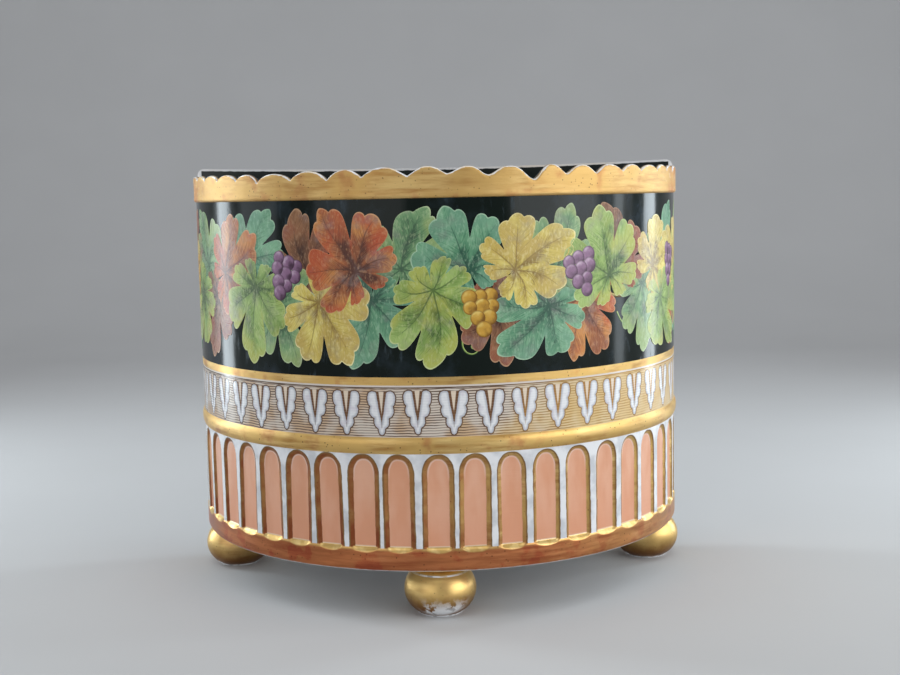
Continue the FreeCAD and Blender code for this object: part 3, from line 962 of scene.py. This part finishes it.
def arcade_radius(arc, z):
    """Ribs stand at the wall's radius; flutes lie deeper and run out over the base ring in scoops."""
    side, x = flute_place(arc, z)
    floor = np.clip(side / FLUTE_SLOPE, 0, 1)
    floor = floor * floor * (3 - 2 * floor)
    recess = (FLUTE_DEPTH + FLUTE_HOLLOW * np.clip(1 - (x / FLUTE_FLOOR) ** 2, 0, 1)) * floor
    scoop = scoop_reach(x)
    rise = np.clip((z - (ARCADE_LOW - scoop)) / (scoop + 0.3), 0, 1)
    ring = np.clip((ARCADE_LOW - z) / 0.4, 0, 1)
    bottom = np.clip((z - WALL_BOTTOM) / RING_ROUND, 0, 1)
    rounding = RING_ROUND * (1 - np.sqrt(1 - (1 - bottom) ** 2))
    return WALL_RADIUS + (RING_PROUD + 0.04 * wander(arc, 55, 33)) * ring - recess * rise - rounding


def make_arcade(material):
    """Rows lie close where the ring's lower edge rounds off, at the scoops and at the flutes' heads."""
    round_off = WALL_BOTTOM + RING_ROUND * (1 - np.cos(np.radians(np.linspace(0, 90, 6))))
    heights = np.concatenate([round_off,
                              np.linspace(WALL_BOTTOM + 2.4, ARCADE_LOW - 2.6, 6),
                              np.linspace(ARCADE_LOW - 2.3, ARCADE_LOW + 1.4, 12),
                              np.linspace(ARCADE_LOW + 2.2, ARCADE_HIGH - 11, 22),
                              np.linspace(ARCADE_HIGH - 10.5, ARCADE_HIGH, 24)])
    piece, arc, z = make_band("arcade", arcs_of(829), heights, arcade_radius, material)
    side, x = flute_place(arc, z)
    put(piece, "side", side)
    put(piece, "scoop", z - ARCADE_LOW + scoop_reach(x))
    put(piece, "height", z - WALL_BOTTOM)
    return piece


def arcade_material():
    """White ribs, salmon flutes between gilt walls darkened to brown by painted shade on the left, and the
    coppery ring with its pale edge, with painted highlights and sheen.
    """
    paint = Paint("arcade_painting")
    gold, strokes, gilt_rough = gilt_colour(paint)
    copper = gilt_colour(paint, 0.85)[0]
    side, height, scoop = map(paint.read, ("side", "height", "scoop"))
    ragged = paint.swing(paint.noise(3.0, 2.0), 0.5)
    high = paint.plus(height, ragged)
    x = paint.position()[0]

    # The painted walls are narrower towards both ends
    narrow = paint.plus(paint.times(paint.step(x, 0, 60), 0.45), paint.times(paint.step(x, -50, -90), 0.35))
    edge = paint.minus(paint.plus(side, ragged), narrow)
    deep = paint.plus(side, ragged, paint.times(narrow, 0.3))
    inside = paint.step(deep, FLUTE_SLOPE - 0.25, FLUTE_SLOPE + 0.05)

    wash = paint.noise(9.0, 3.0, paint.stretch(1.0, 1.0, 0.35))
    floor = paint.mix(paint.step(wash, 0.36, 0.66), SALMON, SALMON_PALE)
    floor = paint.coat(floor, (218, 150, 116), paint.step(height, BASE_RING + 24, BASE_RING),
                       paint.blend(wash, 0.2, 0.7))
    # Painted highlights: pale lines along the top of each flute's floor and at its foot.
    floor = paint.coat(floor, (232, 214, 202), paint.step(deep, FLUTE_SLOPE + 0.75, FLUTE_SLOPE + 0.3),
                       paint.step(height, BASE_RING + ARCADE - 12, BASE_RING + ARCADE - 5), 0.4)
    floor = paint.coat(floor, (228, 206, 176), paint.step(height, BASE_RING + 1.0, BASE_RING + 0.6), 0.8)

    # Painted shade: the flute walls are painted brown on the left and low down, and gold on the right, where
    # light falls.
    wall_shade = paint.plus(paint.blend(paint.step(x, -40, 60), 0.8, 0.1),
                         paint.times(paint.step(height, BASE_RING + 16, BASE_RING), 0.25))
    wall_shade = paint.math("ADD", wall_shade, paint.swing(paint.noise(6.0), 0.9), clamp=True)
    colour = paint.mix(paint.patches(8.0, 0.4, 0.65), WHITE_GLAZE, (200, 202, 206))
    colour = paint.coat(colour, paint.mix(0.75, gold, (96, 66, 44)), paint.step(edge, -0.3, -0.12))
    colour = paint.coat(colour, paint.mix(wall_shade, gold, (138, 72, 40)), paint.step(edge, 0.1, 0.6))
    colour = paint.coat(colour, floor, inside)

    # Painted sheen and highlight: the coppery ring is painted gold towards the right, in patches, and along
    # its top edge.
    ring_sheen = paint.plus(paint.step(x, 0, 100), paint.times(paint.noise(14.0), 0.8))
    copper = paint.coat(copper, gold, paint.step(ring_sheen, 0.55, 1.3), 0.3)
    copper = paint.coat(copper, gold, paint.step(high, BASE_RING - 1.5, BASE_RING - 0.2), 0.75)
    ring = paint.step(height, BASE_RING + 0.2, BASE_RING - 0.05)
    # Painted highlight: the gilt scoops where the flutes run out are painted pale gold.
    scoop_gilt_and_highlight = paint.times(paint.step(paint.plus(scoop, ragged), -0.5, 0.4),
                         paint.step(height, BASE_RING + 0.5, BASE_RING + 0.2), paint.step(side, 0.9, 1.6))
    bare = paint.times(paint.step(high, 0.75, 0.35), 0.85)
    colour = paint.coat(colour, copper, ring)
    colour = paint.coat(colour, paint.mix(paint.patches(4.0, 0.4, 0.6, 2.0), GOLD, GOLD_LIGHT), scoop_gilt_and_highlight)
    colour = paint.coat(colour, WHITE_GLAZE, bare)

    wall = paint.times(paint.step(edge, -0.1, 0.15), paint.minus(1.0, inside))
    metal = paint.times(paint.most(wall, paint.most(ring, scoop_gilt_and_highlight)), paint.blend(bare, GILT_METAL, 0.0))
    rough = paint.blend(metal, 0.16, gilt_rough)
    colour, metal = inside_glaze(paint, colour, metal)
    return paint.set(Base_Color=colour, Metallic=metal, Roughness=rough, Normal=paint.bump(strokes, 0.2, 0.5))


# Feet: a ball with a flat sole, and a short ring on top that seats on the floor of the pot

SOLE_PROFILE = ((0.0, 0.0), (4.0, 0.0), (8.6, 0.0))
BALL_LOW = -62
BALL_HIGH = 64
BALL_ROUND = 0.71
BALL_MIDDLE = 0.487
BALL_HALF = 0.46
RING_PROFILE = ((9.7, -1.5), (10.4, -1.35), (11.0, -1.0), (11.0, -0.5), (10.9, 0.0), (5.0, 0.0), (0.0, 0.0))
FOOT_SPOKES = 72
SHOULDER = 17.1
WORN_X = 3


def make_foot(node, material):
    """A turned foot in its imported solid's box. The ball's middle, half height and round part are shares."""
    low, high = [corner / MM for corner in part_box(node)]
    middle = (low + high) / 2
    radius = (high.x - low.x) / 2
    height = high.z
    profile = list(SOLE_PROFILE)
    for turn in np.radians(np.linspace(BALL_LOW, BALL_HIGH, 22)):
        reach = 1 - BALL_ROUND + BALL_ROUND * math.cos(turn)
        rise = BALL_HALF * math.sin(turn) / math.sin(math.radians(BALL_HIGH))
        profile.append((radius * reach, height * (BALL_MIDDLE + rise)))
    profile += [(reach, height + drop) for reach, drop in RING_PROFILE]
    points = []
    for turn in np.linspace(0, 2 * np.pi, FOOT_SPOKES, endpoint=False):
        for reach, z in profile:
            points.append((middle.x + reach * math.sin(turn), middle.y - reach * math.cos(turn), z))
    faces = grid_faces(FOOT_SPOKES, len(profile), round_columns=True)
    piece = new_piece(node + "_ball", points, faces, [material])
    merge_close(piece)
    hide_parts(node)


def merge_close(piece):
    """Joins the points that lie on the axis."""
    shape = bmesh.new()
    shape.from_mesh(piece.data)
    bmesh.ops.remove_doubles(shape, verts=shape.verts, dist=1e-6)
    shape.to_mesh(piece.data)
    shape.free()
    piece.data.shade_smooth()


def foot_material():
    """Painted shade and reflection brown the ball low down; a bare line at the sole and the shoulder, and the
    front foot worn to white.
    """
    paint = Paint("foot_gilding")
    gold, strokes, gilt_rough = gilt_colour(paint)
    x, y, z = paint.position()
    patch = paint.noise(5.0, 5.0, rough=0.65)
    front = paint.step(y, -47, -52)
    worn = paint.times(front, paint.step(z, 10, 3), paint.step(paint.off(x, WORN_X), 13, 8),
                       paint.step(patch, 0.43, 0.49))
    sole = paint.step(paint.plus(z, paint.times(patch, 1.2)), 1.5, 1.0)
    shoulder = paint.times(paint.step(paint.off(z, SHOULDER), 0.35, 0.2),
                           paint.blend(front, 0.3, paint.patches(7.0, 0.35, 0.5)))
    bare = paint.most(paint.most(worn, sole), shoulder)
    # Painted shade and reflection of a dark surround: the ball is painted brown low down.
    brown = paint.step(paint.plus(z, paint.times(patch, 6)), 15, 5)
    colour = paint.coat(paint.mix(0.35, gold, GOLD_LIGHT), (124, 72, 34), brown, 0.85)
    colour = paint.coat(colour, paint.coat(WHITE_GLAZE, GRIME, paint.patches(3.0, 0.55, 0.65), 0.5), bare)
    return paint.set(Base_Color=colour, Metallic=paint.blend(bare, FOOT_METAL, 0.0),
                     Roughness=paint.blend(bare, gilt_rough, 0.4), Normal=paint.bump(strokes, 0.2, 0.6))


# Back wall, floor, ledges and cover keep their solids and take new finishes

def finish_node(node, material):
    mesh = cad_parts[node].data
    mesh.materials.clear()
    mesh.materials.append(material)


def back_material():
    """White with fine cracks and soil low down, and black on the inner face from the ledge to the rim."""
    paint = Paint("back_glaze")
    x, y, z = paint.position()
    colour, rough = white_ground(paint, 30.0, 0.45, 6.0, 0.055)
    warped = paint.plus(paint.spots(13.0, "DISTANCE_TO_EDGE"), paint.times(paint.noise(7.0), 0.03))
    colour = paint.coat(colour, (150, 128, 100), paint.step(warped, 0.03, 0.02),
                        paint.patches(40.0, 0.48, 0.62, 2.0), 0.16)
    colour = paint.coat(colour, (168, 146, 116), paint.step(z, 34, 20),
                        paint.patches(10.0, 0.42, 0.7, 4.0), 0.45)

    away = paint.math("DIVIDE", x, LIP_RADIUS)
    rim = paint.plus(paint.times(away, away, BACK_SAG), BACK_TOP - BACK_SAG - 0.9)
    over_rim = paint.minus(paint.plus(z, paint.times(paint.noise(3.0), 0.7)), rim)
    colour = paint.coat(colour, BLACK_GLAZE, paint.step(y, ARC_Y + 0.6, ARC_Y + 0.2),
                        paint.step(z, ledge_top - 1, ledge_top - 0.5), paint.step(over_rim, 0.6, 0.3),
                        paint.step(paint.off(x), LIP_RADIUS - 1.6, LIP_RADIUS - 2.0))
    return paint.set(Base_Color=colour, Roughness=rough, Normal=paint.bump(paint.noise(12.0, 2.0), 0.2, 0.5))


# Camera, fitted to the photo

FOCAL_PIXELS = 1300.0
IMAGE_WIDTH = 900.0
SENSOR = 36.0
CAMERA_X = 9.0
CAMERA_DISTANCE = 601.5
CAMERA_HEIGHT = 166.2
CAMERA_YAW = math.radians(-0.34)
CAMERA_PITCH = math.radians(6.27)
CAMERA_ROLL = math.radians(-1.2)


def make_camera():
    """A camera that looks ahead along +Y, turned to the right by the yaw and down by the pitch."""
    data = bpy.data.cameras.new("camera")
    data.sensor_width = SENSOR
    data.sensor_fit = "HORIZONTAL"
    data.lens = FOCAL_PIXELS / IMAGE_WIDTH * SENSOR
    data.clip_start = 0.01
    camera = add_object("camera", data)
    spot = Vector((CAMERA_X, ARC_Y - CAMERA_DISTANCE, CAMERA_HEIGHT)) * MM
    camera.matrix_world = (Matrix.Translation(spot) @ Matrix.Rotation(-CAMERA_YAW, 4, "Z")
                           @ Matrix.Rotation(math.pi / 2 - CAMERA_PITCH, 4, "X")
                           @ Matrix.Rotation(CAMERA_ROLL, 4, "Z"))
    bpy.context.scene.camera = camera


# Lights

PLAIN = (1, 1, 1)
COOL = (0.84, 0.94, 1.0)
# Name, azimuth in degrees from the front towards +X, height, distance, width and length in metres, watts
LAMPS = (
    ("key", 58, 0.42, 1.3, 1.1, 0.8, 7.6, (0.95, 0.98, 1.0)),
    ("fill", -35, 0.45, 1.5, 1.2, 0.9, 3.1, PLAIN),
    ("left_strip", -112, 0.28, 0.6, 0.13, 0.6, 2.1, COOL),
    ("left_haze", -88, 0.25, 1.1, 0.45, 0.9, 1.6, (0.84, 0.92, 1.0)),
    ("right_strip", 116, 0.28, 0.6, 0.1, 0.6, 1.5, COOL),
    ("right_streak", 92, 0.28, 0.6, 0.07, 0.6, 0.6, COOL),
    ("right_glow", 80, 0.1, 1.2, 1.0, 0.9, 2.3, (0.93, 0.96, 1.0)),
    ("top", 0, 1.5, 0.3, 1.2, 1.2, 5.0, PLAIN),
)
LAMP_TARGET = Vector((0, 0, 0.09))
SKY = (0.92, 0.95, 1.0, 1)
SKY_STRENGTH = 0.4


def make_lights():
    for name, azimuth, height, distance, width, length, watts, colour in LAMPS:
        data = bpy.data.lights.new(name, "AREA")
        data.shape = "RECTANGLE"
        data.size = width
        data.size_y = length
        data.energy = watts
        data.color = colour
        lamp = add_object(name, data)
        turn = math.radians(azimuth)
        spot = Vector((distance * math.sin(turn), -distance * math.cos(turn), height))
        aim = (LAMP_TARGET - spot).to_track_quat("-Z", "Y").to_matrix().to_4x4()
        lamp.matrix_world = Matrix.Translation(spot) @ aim
    world = bpy.data.worlds.new("world")
    world.use_nodes = True
    sky = world.node_tree.nodes["Background"].inputs
    sky["Color"].default_value = SKY
    sky["Strength"].default_value = SKY_STRENGTH
    bpy.context.scene.world = world


# Floor that curves up into a backdrop behind the pot, in metres

STAGE_HALF = 2.6
STAGE_FRONT = -2.2
STAGE_BACK = 1.5
STAGE_BEND = 0.7
STAGE_TOP = 2.6


def make_stage():
    line = [(STAGE_FRONT, 0.0), (STAGE_BACK - STAGE_BEND, 0.0)]
    for turn in np.linspace(0, math.pi / 2, 13)[1:]:
        line.append((STAGE_BACK - STAGE_BEND * (1 - math.sin(turn)), STAGE_BEND * (1 - math.cos(turn))))
    line.append((STAGE_BACK, STAGE_TOP))
    points = [(x, y, z) for y, z in line for x in (-STAGE_HALF, STAGE_HALF)]
    mesh = bpy.data.meshes.new("floor")
    mesh.from_pydata(points, [], [(2 * i, 2 * i + 1, 2 * i + 3, 2 * i + 2) for i in range(len(line) - 1)])
    mesh.shade_smooth()
    floor = add_object("floor", mesh)
    paint = Paint("floor_paper")
    shade = paint.blend(paint.noise(120.0, 2.0), 0.5, 0.54)
    mesh.materials.append(paint.set(Base_Color=shade, Roughness=0.9))


def build():
    gold = gilding("moulding_gilding")
    white = white_glaze("white_glaze")
    walls = [make_lip(lip_material()), make_frieze(black_glaze("frieze_glaze")),
             make_leaf_band(leaf_band_material()), make_moulding(gold), make_arcade(arcade_material())]
    for wall in walls + make_garland():
        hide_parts("front_wall")
    foot_gold = foot_material()
    for node in ("foot_front", "foot_left", "foot_right"):
        make_foot(node, foot_gold)
    finish_node("back_wall", back_material())
    for node in ("base_slab", "front_ledge", "back_ledge"):
        finish_node(node, white)
    finish_node("cover_plate", black_glaze("cover_glaze", on_cover=True))
    finish_node("cover_collars", gold)


build()
make_camera()
make_lights()
make_stage()
bpy.context.scene.view_settings.view_transform = "Standard"
